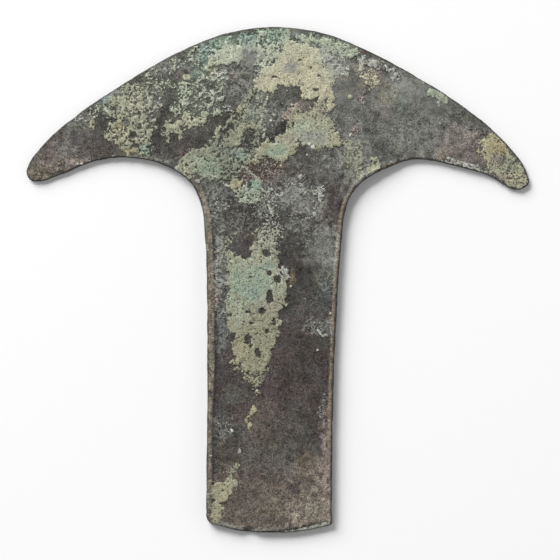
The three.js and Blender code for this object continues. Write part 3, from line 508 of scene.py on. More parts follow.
# Beads of crust: colour, middle and radius
BEADS = [
    ("white", 78, 164, 1.1), ("white", 82, 164, 1.1), ("cream", 187, 77, 2.8), ("white", 226, 43, 1.3),
    ("yellow", 239, 111, 1.8), ("white", 309, 144, 1.4), ("white", 313, 147, 1.6), ("cream", 350, 97, 2.0),
    ("white", 350, 135, 1.0), ("cream", 378, 84, 1.2), ("cream", 360, 70, 1.6), ("cream", 363, 77, 1.4),
    ("cream", 292, 105, 1.0), ("white", 287, 91, 0.9), ("cream", 257, 391, 1.6), ("cream", 281, 166, 1.0),
    ("white", 307, 155, 0.9), ("cream", 291, 286, 1.1), ("cream", 305, 299, 1.0),
    ("pale grey", 318, 350, 1.3), ("cream", 330, 313, 1.4), ("cream", 229, 402, 1.0),
    ("pale grey", 240, 449, 0.9), ("white", 232, 430, 1.3), ("cream", 211, 455, 1.2),
    ("cream", 392, 130, 1.2), ("cream", 395, 127, 1.0), ("pale grey", 440, 124, 1.1),
    ("cream", 212, 438, 1.0), ("pale grey", 258, 98, 1.2), ("pale grey", 266, 112, 1.3),
    ("white", 271, 121, 1.0), ("cream", 220, 127, 1.2),
]


def on_face(pixel_x, pixel_y):
    """The place on the part, in mm, of a place in the photograph."""
    return (pixel_x - PHOTO_MIDDLE[0]) * PIXEL, (PHOTO_MIDDLE[1] - pixel_y) * PIXEL


def linear(name):
    """A named colour as light."""
    return np.array([((c / 255 + 0.055) / 1.055) ** 2.4 for c in COLOURS[name]])


def smooth(value, low, high):
    """0 up to low, 1 from high, and a smooth rise between them."""
    share = np.clip((value - low) / (high - low), 0, 1)
    return share * share * (3 - 2 * share)


def band(value, start, full, fade, end):
    """1 from full to fade, and 0 up to start and from end."""
    return smooth(value, start, full) * (1 - smooth(value, fade, end))


def across(x, columns):
    """0 left of the first of two pixel columns, 1 right of the second, and a smooth rise between."""
    return smooth(x, *(on_face(column, 0)[0] for column in columns))


def blended(colour, other, share):
    """A colour turned into another by a share for each point."""
    share = share[:, None]
    return colour * (1 - share) + other * share


# Noise

def corner_value(column, row, seed):
    """A random number from 0 to 1 for each corner of a lattice."""
    mixed = (column * 374761393 + row * 668265263 + seed * 974711) & 0xFFFFFFFF
    mixed = ((mixed ^ (mixed >> 13)) * 1274126177) & 0xFFFFFFFF
    return (mixed ^ (mixed >> 16)) / 0xFFFFFFFF


def gradient_noise(x, y, seed):
    """Smooth noise of about -1 to 1 that changes over one unit."""
    column, row = np.floor(x).astype(np.int64), np.floor(y).astype(np.int64)
    right, up = x - column, y - row

    def corner(i, j):
        turn = 2 * np.pi * corner_value(column + i, row + j, seed)
        return np.cos(turn) * (right - i) + np.sin(turn) * (up - j)

    over = right**3 * (right * (right * 6 - 15) + 10)
    along = up**3 * (up * (up * 6 - 15) + 10)
    lower = corner(0, 0) * (1 - over) + corner(1, 0) * over
    upper = corner(0, 1) * (1 - over) + corner(1, 1) * over
    return 1.5 * (lower * (1 - along) + upper * along)


def noise(name, x, y):
    """Noise of about -1 to 1: octaves that are each twice as fine and half as strong as the last."""
    size, octaves, seed = NOISES[name]
    return sum(
        0.5**octave * gradient_noise(x / size * 2**octave, y / size * 2**octave, seed + octave)
        for octave in range(octaves)
    )


# Outline of the sheet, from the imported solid

def solid_mesh(node):
    """The node's points in mm, each once, and its triangles."""
    mesh = node.data
    mesh.calc_loop_triangles()
    points = np.empty(len(mesh.vertices) * 3)
    mesh.vertices.foreach_get("co", points)
    corners = np.empty(len(mesh.loop_triangles) * 3, np.int64)
    mesh.loop_triangles.foreach_get("vertices", corners)
    merged, place = np.unique(np.round(points.reshape(-1, 3) / MM, 3), axis=0, return_inverse=True)
    return merged, place.reshape(-1)[corners].reshape(-1, 3)


def underside_loop(points, triangles):
    """The border of the flat underside, counter-clockwise seen from above."""
    flat = triangles[(points[triangles][:, :, 2] < 1e-4).all(1)]
    edges = {(a, b) for t in flat.tolist() for a, b in zip(t, t[1:] + t[:1])}
    after = {b: a for a, b in edges if (b, a) not in edges}
    loop = [next(iter(after))]
    while after[loop[-1]] != loop[0]:
        loop.append(after[loop[-1]])
    return points[loop][:, :2]


def resampled(loop, spacing):
    """A smooth closed curve through the loop's points, with points an even spacing apart."""
    before, after, later = np.roll(loop, 1, 0), np.roll(loop, -1, 0), np.roll(loop, -2, 0)
    steps = np.linspace(0, 1, 12, endpoint=False)[:, None, None]
    curve = loop + 0.5 * steps * (
        after - before
        + steps * (2 * before - 5 * loop + 4 * after - later)
        + steps**2 * (3 * (loop - after) + later - before)
    )
    curve = curve.transpose(1, 0, 2).reshape(-1, 2)
    closed = np.vstack([curve, curve[:1]])
    lengths = np.concatenate([[0], np.cumsum(np.hypot(*np.diff(closed, axis=0).T))])
    wanted = np.linspace(0, lengths[-1], round(lengths[-1] / spacing), endpoint=False)
    return np.stack([np.interp(wanted, lengths, closed[:, i]) for i in range(2)], 1)


def outward(loop):
    """The unit normals of a counter-clockwise loop."""
    along = np.roll(loop, -2, 0) - np.roll(loop, 2, 0)
    normal = np.stack([along[:, 1], -along[:, 0]], 1)
    return normal / np.hypot(*normal.T)[:, None]


class Outline:
    """The worn outline of the sheet, and how deep a point lies inside it."""

    def __init__(self, node):
        points, triangles = solid_mesh(node)
        self.loop = resampled(underside_loop(points, triangles), OUTLINE_SPACING)
        self.normals = outward(self.loop)
        x, y = self.loop.T
        self.wear = RAGGED_EDGE * smooth(noise("edge wear", x, y), -0.9, 1.3)
        self.surface = BVHTree.FromPolygons(points.tolist(), triangles.tolist())
        self.tree = kdtree.KDTree(len(self.loop))
        for i, (a, b) in enumerate(self.loop.tolist()):
            self.tree.insert((a, b, 0), i)
        self.tree.balance()

    def nearest(self, x, y):
        """The nearest place on the outline, and the depth inside the outline."""
        found = [self.tree.find((a, b, 0))[1] for a, b in zip(x.tolist(), y.tolist())]
        gap = np.stack([x, y], 1) - self.loop[found]
        inside = -(gap * self.normals[found]).sum(1)
        return np.array(found), np.hypot(*gap.T) * np.sign(inside)

    def ring(self, inset):
        """The worn outline, drawn in by an inset."""
        return self.loop - self.normals * (self.wear + inset)[:, None]

    def solid_height(self, x, y):
        """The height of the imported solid's face."""
        down = Vector((0, 0, -1))
        top = [self.surface.ray_cast(Vector((a, b, 9)), down)[0] for a, b in zip(x.tolist(), y.tolist())]
        heights = np.array([np.nan if place is None else place.z for place in top])
        return np.where(np.isnan(heights), np.nanmean(heights), heights)


# Patina

def distance_to_path(x, y, path):
    """How far points lie from a path of straight stretches."""
    nearest = np.full(x.shape, np.inf)
    for (ax, ay), (bx, by) in zip(path, path[1:]):
        run, rise = bx - ax, by - ay
        share = np.clip(((x - ax) * run + (y - ay) * rise) / (run * run + rise * rise), 0, 1)
        nearest = np.minimum(nearest, np.hypot(x - ax - share * run, y - ay - share * rise))
    return nearest


def distance_inside(x, y, outline):
    """How far points lie inside a closed outline. Outside it the distance is negative."""
    closed = outline + outline[:1]
    inside = np.zeros(x.shape, bool)
    for (ax, ay), (bx, by) in zip(closed, closed[1:]):
        if ay != by:
            inside ^= ((ay > y) != (by > y)) & (x < ax + (y - ay) * (bx - ax) / (by - ay))
    nearest = distance_to_path(x, y, closed)
    return np.where(inside, nearest, -nearest)


def ranked(values):
    """Each value as the share of the values that are lower."""
    ranks = np.empty(len(values))
    ranks[np.argsort(values, kind="stable")] = np.linspace(0, 1, len(values))
    return ranks


class Patina:
    """What lies on the face at each point: crust and ground colours, the crust's cover and net."""

    def __init__(self, x, y):
        self.x, self.y = x, y
        self.ragged = self.noise("ragged borders")
        self.web = ranked(np.abs(self.noise("crust net")))
        self.cover, self.crust = self.lay_crusts()
        self.dust = self.spots(DUST, 0.2 + 0.15 * self.noise("dust"))
        self.haze = self.spots(HAZE, 0) * (0.9 + 0.7 * self.noise("haze")).clip(0, 1.2)
        self.ground = self.lay_ground()
        stain = STAIN * smooth(self.cover, 0.05, 0.5)
        self.ground = blended(self.ground, STAIN_SHADE * self.crust, stain)
        self.cut_holes()
        self.run_threads()
        self.add_beads()

    def noise(self, name):
        return noise(name, self.x, self.y)

    def lay_crusts(self):
        """How much crust covers each point, and its colour."""
        cover = np.zeros(self.x.shape)
        thin = 0.96 + 0.36 * self.noise("thin crust")
        torn = 0.2 + 1.5 * smooth(self.noise("torn crust"), -0.35, 0.5)
        weight = np.full(self.x.shape, 1e-6)
        colour = weight[:, None] * linear("olive")
        for key, (name, solid, soft, outline) in CRUSTS.items():
            depth = distance_inside(self.x, self.y, [on_face(*pixel) for pixel in outline])
            here = solid * smooth(depth + RAGGED_CRUST * self.ragged, -soft, soft)
            loose = min(1, 2.5 * (1 - solid))
            here = here * (torn if "veil" in key or "net" in key else 1 + loose * (thin - 1))
            if name == "bare":
                cover = cover * (1 - here.clip(0, 1))
                continue
            cover = np.maximum(cover, here)
            weight += here**2
            colour += (here**2)[:, None] * linear(name)
        return cover, self.tinted(colour / weight[:, None], CRUST_TINTS)

    def lay_ground(self):
        """The ground's colour: two browns and patches of blue grey, tinted and mottled."""
        drift = smooth(self.noise("ground drift"), -0.7, 0.7)
        patches = smooth(self.noise("ground patches"), -0.2, 0.8)
        colour = blended(linear("umber"), linear("purple brown"), drift)
        colour = blended(colour, linear("blue grey"), 0.5 * patches)
        mottled = 1 + 0.4 * self.noise("mottling") * smooth(self.y, -30, 20)
        mottled += 0.3 * self.noise("clouds")
        return self.tinted(colour, GROUND_TINTS) * np.clip(mottled, 0.5, 1.6)[:, None]

    def spot(self, pixel_x, pixel_y, half_x, half_y, soft, ragged):
        """1 in an ellipse on the face, falling softly to 0 past its ragged border."""
        middle_x, middle_y = on_face(pixel_x, pixel_y)
        run = (self.x - middle_x) / (half_x * PIXEL)
        rise = (self.y - middle_y) / (half_y * PIXEL)
        return 1 - smooth(np.hypot(run, rise) + ragged * self.ragged, 1 - soft, 1 + soft)

    def spots(self, places, strength):
        """The strongest of some soft spots at each point, and no less than a given strength."""
        for *place, full in places:
            strength = np.maximum(strength, full * self.spot(*place, 0.6, 0.4))
        return strength

    def tinted(self, colour, tints):
        """Colours after soft tints, each laid over those before it."""
        for name, *place, strength in tints:
            colour = blended(colour, linear(name), strength * self.spot(*place, 0.5, 0.7))
        return colour

    def paint(self, name, share):
        """Turns the ground into a named colour by a share for each point."""
        self.ground = blended(self.ground, linear(name), share)

    def cut_holes(self):
        for place in HOLES:
            hole = self.spot(*place, 0.3, 0.35)
            self.cover = self.cover * (1 - hole)
            self.ground = self.ground * (1 - HOLE_SHADE * hole[:, None])

    def run_threads(self):
        for thread in THREADS:
            gap = distance_to_path(self.x, self.y, [on_face(*pixel) for pixel in thread])
            here = 1 - smooth(gap + 0.25 * self.ragged, 0.5 * THREAD_WIDTH, 1.5 * THREAD_WIDTH)
            self.cover = np.maximum(self.cover, THREAD_COVER * here)
            self.crust = blended(self.crust, linear("sage"), THREAD_TINT * here)

    def add_beads(self):
        for name, pixel_x, pixel_y, radius in BEADS:
            bead = self.spot(pixel_x, pixel_y, radius, radius, 0.5, 0.5)
            self.cover = np.maximum(self.cover, bead)
            self.web = self.web * (1 - bead)
            self.crust = blended(self.crust, linear(name), bead)

    def chip(self):
        """How surely a point lies in the chip in the butt."""
        return self.spot(*BUTT_CHIP, 0.4, 0.3)

    def margin(self):
        """How far a point lies inside the crusts' net, above 0, or outside it."""
        open_left = (1 - across(self.x, LEFT_NET)) * (self.y > LEFT_NET_FOOT)
        open_net = 0.45 + 0.4 * open_left - 0.15 * across(self.x, TIP_NET)
        net = 0.5 + open_net * (self.web - 0.5)
        margin = self.cover - net - 0.4 * (1 - smooth(self.cover, 0.0, 0.15))
        return margin * (1 + 0.7 * open_left)

    def solid(self):
        """How surely a point is crust."""
        return smooth(self.margin(), -0.1, 0.2)


# Relief

def lip_depth(outline, x, y):
    """How far points lie out on the lower layer that shows below the butt's broken right part."""
    found, depth = outline.nearest(x, y)
    shown = across(x, LIP_COLUMNS)
    width = LIP_WIDTH * (0.25 + 0.75 * shown) * (shown > 0)
    below = outline.normals[found][:, 1] < BUTT_FACING
    return np.where((y < LIP_TOP) & below, width - depth + 0.3 * noise("lip", x, y), -1.0)


def face_relief(patina):
    """What the hammer, the patina and the damage add to the solid's height."""
    relief = HAMMER_DEPTH * patina.noise("hammering")
    relief += GRAIN_DEPTH * patina.noise("grain")
    relief += CRUST_HEIGHT * patina.solid() * (0.7 + 0.3 * patina.ragged)
    return relief - CHIP_DEPTH * patina.chip()


def relaxed(values, triangles, rounds):
    """Values averaged with their neighbours'."""
    a = triangles[:, [0, 1, 2]].ravel()
    b = triangles[:, [1, 2, 0]].ravel()
    count = np.bincount(a, minlength=len(values)) + np.bincount(b, minlength=len(values))
    for _ in range(rounds):
        total = np.bincount(a, values[b], len(values)) + np.bincount(b, values[a], len(values))
        values = 0.5 * values + 0.5 * total / np.maximum(count, 1)
    return values


# Mesh

def lattice(outline, spacing, depth):
    """Points in even triangles, shaken a little, that lie deeper inside the outline than a depth."""
    low, high = outline.loop.min(0), outline.loop.max(0)
    rows = np.arange(low[1], high[1], spacing * np.sqrt(0.75))
    columns = np.arange(low[0], high[0], spacing)
    column, row = np.meshgrid(np.arange(len(columns)), np.arange(len(rows)))
    x = columns[column] + (row % 2) * spacing / 2
    y = rows[row]
    x = x + (corner_value(column, row, JITTER_SEEDS[0]) - 0.5) * 2 * JITTER * spacing
    y = y + (corner_value(column, row, JITTER_SEEDS[1]) - 0.5) * 2 * JITTER * spacing
    x, y = x.ravel(), y.ravel()
    inside = outline.nearest(x, y)[1] > depth
    return np.stack([x[inside], y[inside]], 1)


def filled(ring, inner):
    """Triangles that fill a ring through its inner points. The points are the ring, then those."""
    points = np.vstack([ring, inner])
    border = list(range(len(ring)))
    edges = list(zip(border, border[1:] + border[:1]))
    made = delaunay_2d_cdt([Vector(p) for p in points.tolist()], edges, [border], 1, 1e-7)
    kept = [names[0] for names in made[3]]
    triangles = np.array([[kept[i] for i in face] for face in made[2]])
    a, b, c = points[triangles].transpose(1, 0, 2)
    turned = (b[:, 0] - a[:, 0]) * (c[:, 1] - a[:, 1]) < (b[:, 1] - a[:, 1]) * (c[:, 0] - a[:, 0])
    triangles[turned] = triangles[turned][:, ::-1]
    return points, triangles


def ring_bands(count, rings):
    """Triangles between neighbouring rings of points, where rings holds each ring's first point."""
    here = np.arange(count)
    after = (here + 1) % count
    bands = []
    for upper, lower in zip(rings, rings[1:]):
        bands.append(np.stack([upper + here, lower + here, lower + after], 1))
        bands.append(np.stack([upper + here, lower + after, upper + after], 1))
    return np.vstack(bands)


def build_sheet(outline):
    """Points, triangles, patina values and bake places of the whole sheet."""
    insets = [inset for inset, _ in EDGE_SECTION]
    face, face_triangles = filled(
        outline.ring(insets[0]),
        lattice(outline, FACE_SPACING, insets[0] + RAGGED_EDGE + 0.5 * FACE_SPACING),
    )
    count = len(outline.loop)
    patina = Patina(*face.T)
    height = relaxed(outline.solid_height(*face.T), face_triangles, 3)
    height += face_relief(patina)
    lip = lip_depth(outline, *face.T)
    height = np.where(lip > 0, np.minimum(height, LIP_HEIGHT), height)
    height = np.clip(height, LEAST_THICKNESS, TOP - 0.01)
    shade_rims(outline, patina)
    shade_lip(patina, lip)

    walls = [
        np.column_stack([outline.ring(inset), height[:count] * share])
        for inset, share in EDGE_SECTION[1:]
    ]
    back, back_triangles = filled(
        outline.ring(insets[-1]), lattice(outline, BACK_SPACING, insets[-1] + 0.8 * BACK_SPACING)
    )
    back_height = back_relief(*back.T)
    back_height[:count] = 0

    starts = [0] + [len(face) + i * count for i in range(len(walls))]
    back_start = starts[-1]
    points = np.vstack([
        np.column_stack([face, height]),
        *walls[:-1],
        np.column_stack([back, back_height]),
    ])
    triangles = np.vstack([
        face_triangles,
        ring_bands(count, starts),
        back_start + back_triangles[:, ::-1],
    ])
    values = patina_values(patina, points, len(face), back_start)
    places = bake_places(outline, points, len(face), count, len(walls) - 1)
    return points, triangles, values, places


def back_relief(x, y):
    """The back is flat where it rests, with hollows and pits that rise into the sheet."""
    hollows = smooth(noise("back hollows", x, y), 0.1, 1.0)
    pits = smooth(noise("back pits", x, y), 0.45, 0.9)
    return BACK_PIT_DEPTH * (0.6 * hollows + 0.4 * pits)


def shade_lip(patina, lip):
    """The butt's lower layer is a smooth light grey, below a dark broken line."""
    shown = smooth(lip, 0.0, 0.25)
    line = band(lip, -0.65, -0.2, 0.15, 0.45)
    patina.paint("pale grey", shown)
    patina.paint("black", 0.9 * line)
    patina.cover = patina.cover * (1 - np.maximum(shown, line))
    patina.paint("black", 0.6 * patina.chip())


def shade_rims(outline, patina):
    """Brown crests on the rims, the left paler as a painted highlight, painted shade in the groove inside
    them, and a dark edge all round the sheet, but for the butt's edge, painted pale as painted light."""
    found, depth = outline.nearest(patina.x, patina.y)
    side = outline.normals[found]
    height = outline.loop[found][:, 1]
    along = smooth(-height, *RIM_TOP) * smooth(np.abs(side[:, 0]), 0.3, 0.7)
    for name, facing, widest, narrowing in RIMS:
        low = 0.5 * smooth(-height, narrowing, narrowing + RIM_NARROWING)
        width = widest - low
        here = along * (side[:, 0] * facing > 0) * (1 - 0.5 * low)
        # The crest's colour is partly its own and partly a painted highlight, paler on the side that faces
        # the light
        crest = here * band(depth, 0.35, 0.6, width, width + 0.6)
        patina.paint(name, (crest * (0.8 + 0.8 * patina.ragged)).clip(0, 1))
        # Painted shade in the groove inside each crest
        groove = here * band(depth, width + 0.2, width + 0.6, width + 0.8, width + 1.4)
        groove = (groove * (0.7 + 0.8 * patina.ragged)).clip(0, 1)
        patina.ground = patina.ground * (1 - 0.6 * groove[:, None])
        patina.cover = patina.cover * (1 - 0.7 * here * (1 - smooth(depth, 1.2, 1.9)))
    butt = smooth(-height, *BUTT_START) * (side[:, 1] < BUTT_FACING)
    patina.paint("dark", (1 - smooth(depth, 0.35, 0.8)) * (0.6 - 0.55 * butt))
    # Painted light along the butt's edge, against the shade where its face turns down
    patina.paint("pale grey", 0.5 * butt * band(depth, 0.3, 0.6, 1.0, 2.0))


def patina_values(patina, points, face_count, back_start):
    """The crusts' margin, the dust, the haze and both colours at every point of the sheet."""
    count = len(points)
    values = {
        "margin": np.full(count, -1.0),
        "dust": np.full(count, 0.2),
        "haze": np.zeros(count),
        "crust": np.tile(linear("olive"), (count, 1)),
        "ground": np.tile(linear("dark"), (count, 1)),
    }
    values["margin"][:face_count] = patina.margin()
    for key in ("dust", "haze", "crust", "ground"):
        values[key][:face_count] = getattr(patina, key)
    x, y = points[back_start:, :2].T
    net = ranked(np.abs(noise("back net", x, y)))
    values["margin"][back_start:] = 0.7 * smooth(noise("back crusts", x, y), 0.05, 0.6) - net - 0.05
    green = smooth(noise("back greens", x, y), -0.5, 0.5)
    values["crust"][back_start:] = blended(linear("olive"), linear("turquoise"), green)
    drift = smooth(noise("back drift", x, y), -0.7, 0.7)
    values["ground"][back_start:] = blended(linear("umber"), linear("earth"), drift)
    return values


# Places of the points on the map that a bake uses, from 0 to 1: the face with its edge laid out
# round it, and the back, smaller, in the empty corner beside the shank.
FACE_ON_MAP = 0.0062  # of the map for each mm
BACK_ON_MAP = 0.0022
BACK_MIDDLE_ON_MAP = (0.2, 0.2)


def bake_places(outline, points, face_count, ring_count, wall_rings):
    """The place of every point of the sheet on that map."""
    xy = points[:, :2].copy()
    rings = points[face_count:face_count + wall_rings * ring_count].reshape(wall_rings, ring_count, 3)
    upper = points[:ring_count]
    reach = np.zeros(ring_count)  # how far the edge's surface runs from the face down to each ring
    for i, ring in enumerate(rings):
        reach = reach + np.linalg.norm(ring - upper, axis=1)
        upper = ring
        start = face_count + i * ring_count
        xy[start:start + ring_count] = points[:ring_count, :2] + outline.normals * reach[:, None]
    places = 0.5 + FACE_ON_MAP * xy
    start = face_count + wall_rings * ring_count
    back = points[start:, :2] * (-BACK_ON_MAP, BACK_ON_MAP)
    places[start:] = np.array(BACK_MIDDLE_ON_MAP) + back
    return places


def make_mesh(name, points, triangles, values, places):
    """A mesh in metres that holds the patina's values and the bake places."""
    mesh = bpy.data.meshes.new(name)
    mesh.from_pydata((points * MM).tolist(), [], triangles.tolist())
    for key in ("margin", "dust", "haze"):
        layer = mesh.attributes.new(key, "FLOAT", "POINT")
        layer.data.foreach_set("value", values[key].astype(np.float32))
    for key in ("crust", "ground"):
        layer = mesh.attributes.new(key, "FLOAT_COLOR", "POINT")
        solid = np.column_stack([values[key], np.ones(len(points))])
        layer.data.foreach_set("color", solid.astype(np.float32).ravel())
    corners = np.empty(len(mesh.loops), np.int64)
    mesh.loops.foreach_get("vertex_index", corners)
    layer = mesh.uv_layers.new(name="OFBake")
    layer.uv.foreach_set("vector", places[corners].astype(np.float32).ravel())
    mesh.shade_smooth()
    mesh.update()
    return mesh


# Materials

# Sizes in mm of what the shader adds
FINEST_GRAIN = 0.4
FINE_GRAIN = 0.55
MOTTLE = 1.3
CLOUD = 5.0
VEIN = 1.8
PORE_SPACING = 1.05
BUMP = 0.1

# How light the finest grain and the mottle make the ground and the crusts: what a noise of 0 to 1
# is multiplied by, and what is added to that
GROUND_GRAIN = (3.2, -0.6)
GROUND_MOTTLE = (1.9, 0.05)
CRUST_GRAIN = (1.7, 0.18)
CRUST_MOTTLE = (1.1, 0.46)
PORE_SHADE = (0.42, 0.28)  # how light a pore is, in the same form, by how solid its crust is
RIND_PAINTED_HIGHLIGHT = 0.14  # how much a painted highlight lightens a crust just inside its border
GAP_PAINTED_SHADE = 0.5  # and how much painted shade darkens the ground just outside it


class Tree:
    """Shader nodes, made one by one and linked as they are made."""

    def __init__(self, name):
        self.material = bpy.data.materials.new(name)
        self.material.use_nodes = True
        self.nodes = self.material.node_tree.nodes
        self.links = self.material.node_tree.links
        self.shader = self.nodes["Principled BSDF"]

    def add(self, kind, inputs, output=0, **settings):
        """A node whose inputs are numbers, colours or other nodes' outputs. Returns an output."""
        made = self.nodes.new(kind)
        for key, value in settings.items():
            setattr(made, key, value)
        for key, value in inputs.items():
            if isinstance(value, bpy.types.NodeSocket):
                self.links.new(value, made.inputs[key])
            else:
                made.inputs[key].default_value = value
        return made.outputs[output]

    def value(self, name):
        """A number that the mesh holds for each point."""
        return self.add("ShaderNodeAttribute", {}, "Fac", attribute_name=name)

    def colour(self, name):
        """A colour that the mesh holds for each point."""
        return self.add("ShaderNodeAttribute", {}, "Color", attribute_name=name)

    def noise(self, size, detail=2.0, roughness=0.5):
        """Noise of 0 to 1 with features of a size in mm."""
        place = self.add("ShaderNodeTexCoord", {}, "Object")
        inputs = {"Vector": place, "Scale": 1 / (size * MM), "Detail": detail, "Roughness": roughness}
        return self.add("ShaderNodeTexNoise", inputs, 0)

    def scatter(self, size):
        """How far the nearest of many points on the face lies, in shares of their spacing in mm."""
        place = self.add("ShaderNodeTexCoord", {}, "Object")
        inputs = {"Vector": place, "Scale": 1 / (size * MM)}
        return self.add("ShaderNodeTexVoronoi", inputs, "Distance", voronoi_dimensions="2D")

    def math(self, operation, a, b=0.0, c=0.0):
        return self.add("ShaderNodeMath", {0: a, 1: b, 2: c}, operation=operation)

    def times(self, a, b):
        return self.math("MULTIPLY", a, b)

    def line(self, value, factor, start):
        """A number times a factor, and a start added to that."""
        return self.math("MULTIPLY_ADD", value, factor, start)

    def ramp(self, value, low, high, to_low=0.0, to_high=1.0):
        """One number up to low, another from high, and a smooth change between them."""
        inputs = {
            "Value": value, "From Min": low, "From Max": high, "To Min": to_low, "To Max": to_high,
        }
        return self.add("ShaderNodeMapRange", inputs, interpolation_type="SMOOTHSTEP")

    def mix(self, share, a, b):
        """A colour turned into another by a share."""
        return self.add("ShaderNodeMix", {0: share, 6: a, 7: b}, 2, data_type="RGBA")

    def scaled(self, colour, factor):
        """A colour made lighter or darker."""
        return self.add("ShaderNodeVectorMath", {0: colour, 3: factor}, operation="SCALE")


def named(name):
    """A named colour as a shader takes it."""
    return (*linear(name), 1)


def patina_material():
    tree = Tree("patinated_copper")
    finest = tree.noise(FINEST_GRAIN, 1.0)
    fine = tree.noise(FINE_GRAIN, 3.0, 0.65)
    mottle = tree.noise(MOTTLE, 4.0, 0.6)
    cloud = tree.noise(CLOUD)

    # Crisp, branching borders of the crusts, with a pale rind inside them as a painted highlight and
    # painted shade on the ground just outside them
    wobble = tree.line(fine, 2.4, -1.2)
    margin = tree.math("ADD", tree.value("margin"), wobble)
    crusted = tree.ramp(margin, -0.12, 0.14)
    # The rind is a painted highlight just inside each border, and the gap is painted shade just outside it
    rind_highlight = tree.times(tree.ramp(margin, 0.0, 0.12), tree.ramp(margin, 0.4, 0.16))
    gap = tree.times(tree.ramp(margin, -0.45, -0.2), tree.ramp(margin, 0.04, -0.1))

    # Crust, with dark pores
    lightness = tree.line(finest, *CRUST_GRAIN)
    pores = tree.line(mottle, 0.7, tree.scatter(PORE_SPACING))
    solid = tree.ramp(tree.value("margin"), 0.15, 0.5)
    pore_shade = tree.line(solid, *PORE_SHADE)
    for factor in (
        tree.line(mottle, *CRUST_MOTTLE),
        tree.line(rind_highlight, RIND_PAINTED_HIGHLIGHT, 1.0),
        tree.ramp(pores, 0.46, 0.58, pore_shade, 1.0),
    ):
        lightness = tree.times(lightness, factor)
    crust = tree.scaled(tree.colour("crust"), lightness)

    # Ground: fine light and dark grains, faint clouds, and pale dust
    grain = tree.line(finest, *GROUND_GRAIN)
    grain = tree.times(grain, tree.line(mottle, *GROUND_MOTTLE))
    ground = tree.scaled(tree.colour("ground"), grain)
    ground = tree.mix(tree.ramp(cloud, 0.5, 0.75, 0.0, 0.3), ground, named("blue grey"))
    dust = tree.line(tree.value("dust"), 0.22, fine)
    specks = tree.ramp(dust, 0.62, 0.78, 0.0, 0.8)
    dusty = tree.mix(0.5, named("haze"), tree.scaled(tree.colour("ground"), 1.9))
    ground = tree.mix(specks, ground, dusty)
    vein = tree.math("ABSOLUTE", tree.math("SUBTRACT", tree.noise(VEIN, 3.0), 0.5))
    veins = tree.times(tree.ramp(vein, 0.07, 0.02), tree.ramp(tree.value("dust"), 0.2, 0.8))
    ground = tree.mix(tree.times(veins, 0.7), ground, named("pale grey"))
    # Painted shade darkens the ground just outside each crust's border
    ground = tree.scaled(ground, tree.line(gap, -GAP_PAINTED_SHADE, 1.0))
    surface = tree.mix(crusted, ground, crust)
    surface = tree.mix(tree.value("haze"), surface, named("haze"))

    # The finish
    height = tree.line(crusted, 0.6, tree.times(fine, 0.7))
    bump = tree.add("ShaderNodeBump", {"Strength": 0.6, "Distance": BUMP * MM, "Height": height})
    rough = tree.ramp(crusted, 0, 1, 0.55, 0.9)
    rough = tree.line(mottle, 0.15, rough)
    tree.links.new(surface, tree.shader.inputs["Base Color"])
    tree.links.new(rough, tree.shader.inputs["Roughness"])
    tree.links.new(bump, tree.shader.inputs["Normal"])
    tree.shader.inputs["Specular IOR Level"].default_value = 0.25
    return tree.material


def floor_material():
    tree = Tree("floor")
    tree.shader.inputs["Base Color"].default_value = FLOOR_COLOUR
    tree.shader.inputs["Roughness"].default_value = 0.9
    tree.shader.inputs["Specular IOR Level"].default_value = 0.1
    return tree.material


# Studio

FLOOR_SIZE = 4.0  # m
FLOOR_COLOUR = (0.96, 0.96, 0.96, 1)
FLOOR_GAP = 0.02  # below the sheet, so that the two never share a plane
FRAME_WIDTH = PHOTO_WIDTH * PIXEL
FRAME_MIDDLE = on_face(PHOTO_WIDTH / 2, PHOTO_WIDTH / 2)
LENS = 120.0
SENSOR = 36.0
KEY_DIRECTION = Vector((-0.52, 0.8, 0.29)).normalized()
KEY_DISTANCE = 4.0  # m
KEY_WIDTH = 3.0
KEY_HEIGHT = 1.4
KEY_POWER = 398.0
HORIZON = 2.55  # brightness of the sky where it is low, and overhead
ZENITH = 0.12
SKY_FADE = (0.1, 0.5)  # heights on the sky between which it darkens


def add_floor():
    half = FLOOR_SIZE / 2
    mesh = bpy.data.meshes.new("floor")
    corners = [(-half, -half, 0), (half, -half, 0), (half, half, 0), (-half, half, 0)]
    mesh.from_pydata(corners, [], [(0, 1, 2, 3)])
    mesh.materials.append(floor_material())
    floor = bpy.data.objects.new("floor", mesh)
    floor.location.z = -FLOOR_GAP * MM
    bpy.context.scene.collection.objects.link(floor)


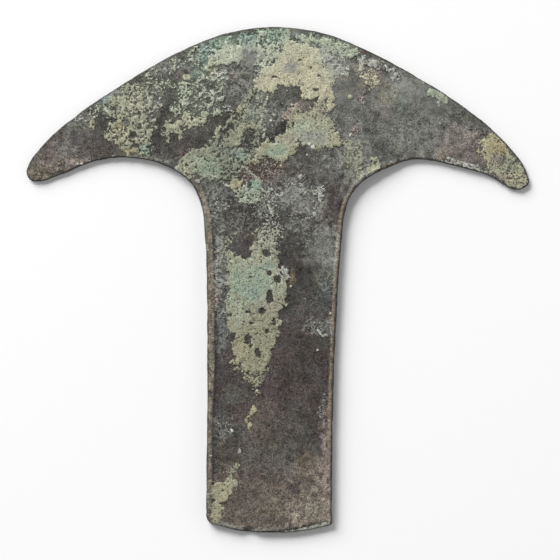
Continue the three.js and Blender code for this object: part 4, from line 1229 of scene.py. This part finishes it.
def add_light():
    lamp = bpy.data.lights.new("key", "AREA")
    lamp.shape = "RECTANGLE"
    lamp.size = KEY_WIDTH
    lamp.size_y = KEY_HEIGHT
    lamp.energy = KEY_POWER
    key = bpy.data.objects.new("key", lamp)
    key.location = KEY_DIRECTION * KEY_DISTANCE
    key.rotation_euler = KEY_DIRECTION.to_track_quat("Z", "Y").to_euler()
    bpy.context.scene.collection.objects.link(key)
    world = bpy.data.worlds.new("studio")
    world.use_nodes = True
    nodes = world.node_tree.nodes
    place = nodes.new("ShaderNodeTexCoord")
    split = nodes.new("ShaderNodeSeparateXYZ")
    fade = nodes.new("ShaderNodeMapRange")
    fade.interpolation_type = "SMOOTHSTEP"
    limits = {"From Min": SKY_FADE[0], "From Max": SKY_FADE[1], "To Min": HORIZON, "To Max": ZENITH}
    for name, value in limits.items():
        fade.inputs[name].default_value = value
    world.node_tree.links.new(place.outputs["Generated"], split.inputs["Vector"])
    world.node_tree.links.new(split.outputs["Z"], fade.inputs["Value"])
    world.node_tree.links.new(fade.outputs["Result"], nodes["Background"].inputs["Strength"])
    nodes["Background"].inputs["Color"].default_value = (1, 1, 1, 1)
    bpy.context.scene.world = world


def add_camera():
    data = bpy.data.cameras.new("camera")
    data.lens = LENS
    data.sensor_width = SENSOR
    camera = bpy.data.objects.new("camera", data)
    distance = FRAME_WIDTH * LENS / SENSOR
    camera.location = Vector((*FRAME_MIDDLE, distance)) * MM
    bpy.context.scene.collection.objects.link(camera)
    bpy.context.scene.camera = camera


# The scene

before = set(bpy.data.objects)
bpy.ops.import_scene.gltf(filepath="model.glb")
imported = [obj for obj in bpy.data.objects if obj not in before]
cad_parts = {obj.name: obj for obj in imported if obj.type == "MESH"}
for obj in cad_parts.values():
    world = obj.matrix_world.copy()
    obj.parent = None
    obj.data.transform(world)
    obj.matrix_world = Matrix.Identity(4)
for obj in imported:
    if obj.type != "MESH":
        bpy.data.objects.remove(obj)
cad_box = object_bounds()
TOP = cad_box[1].z / MM

sheet_mesh = make_mesh("axe_money_sheet", *build_sheet(Outline(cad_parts["axe_money"])))
sheet_mesh.materials.append(patina_material())
sheet = bpy.data.objects.new("axe_money_sheet", sheet_mesh)
bpy.context.scene.collection.objects.link(sheet)
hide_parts("axe_money")
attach(sheet, "root")

add_floor()
add_light()
add_camera()
bpy.context.scene.view_settings.view_transform = "Standard"
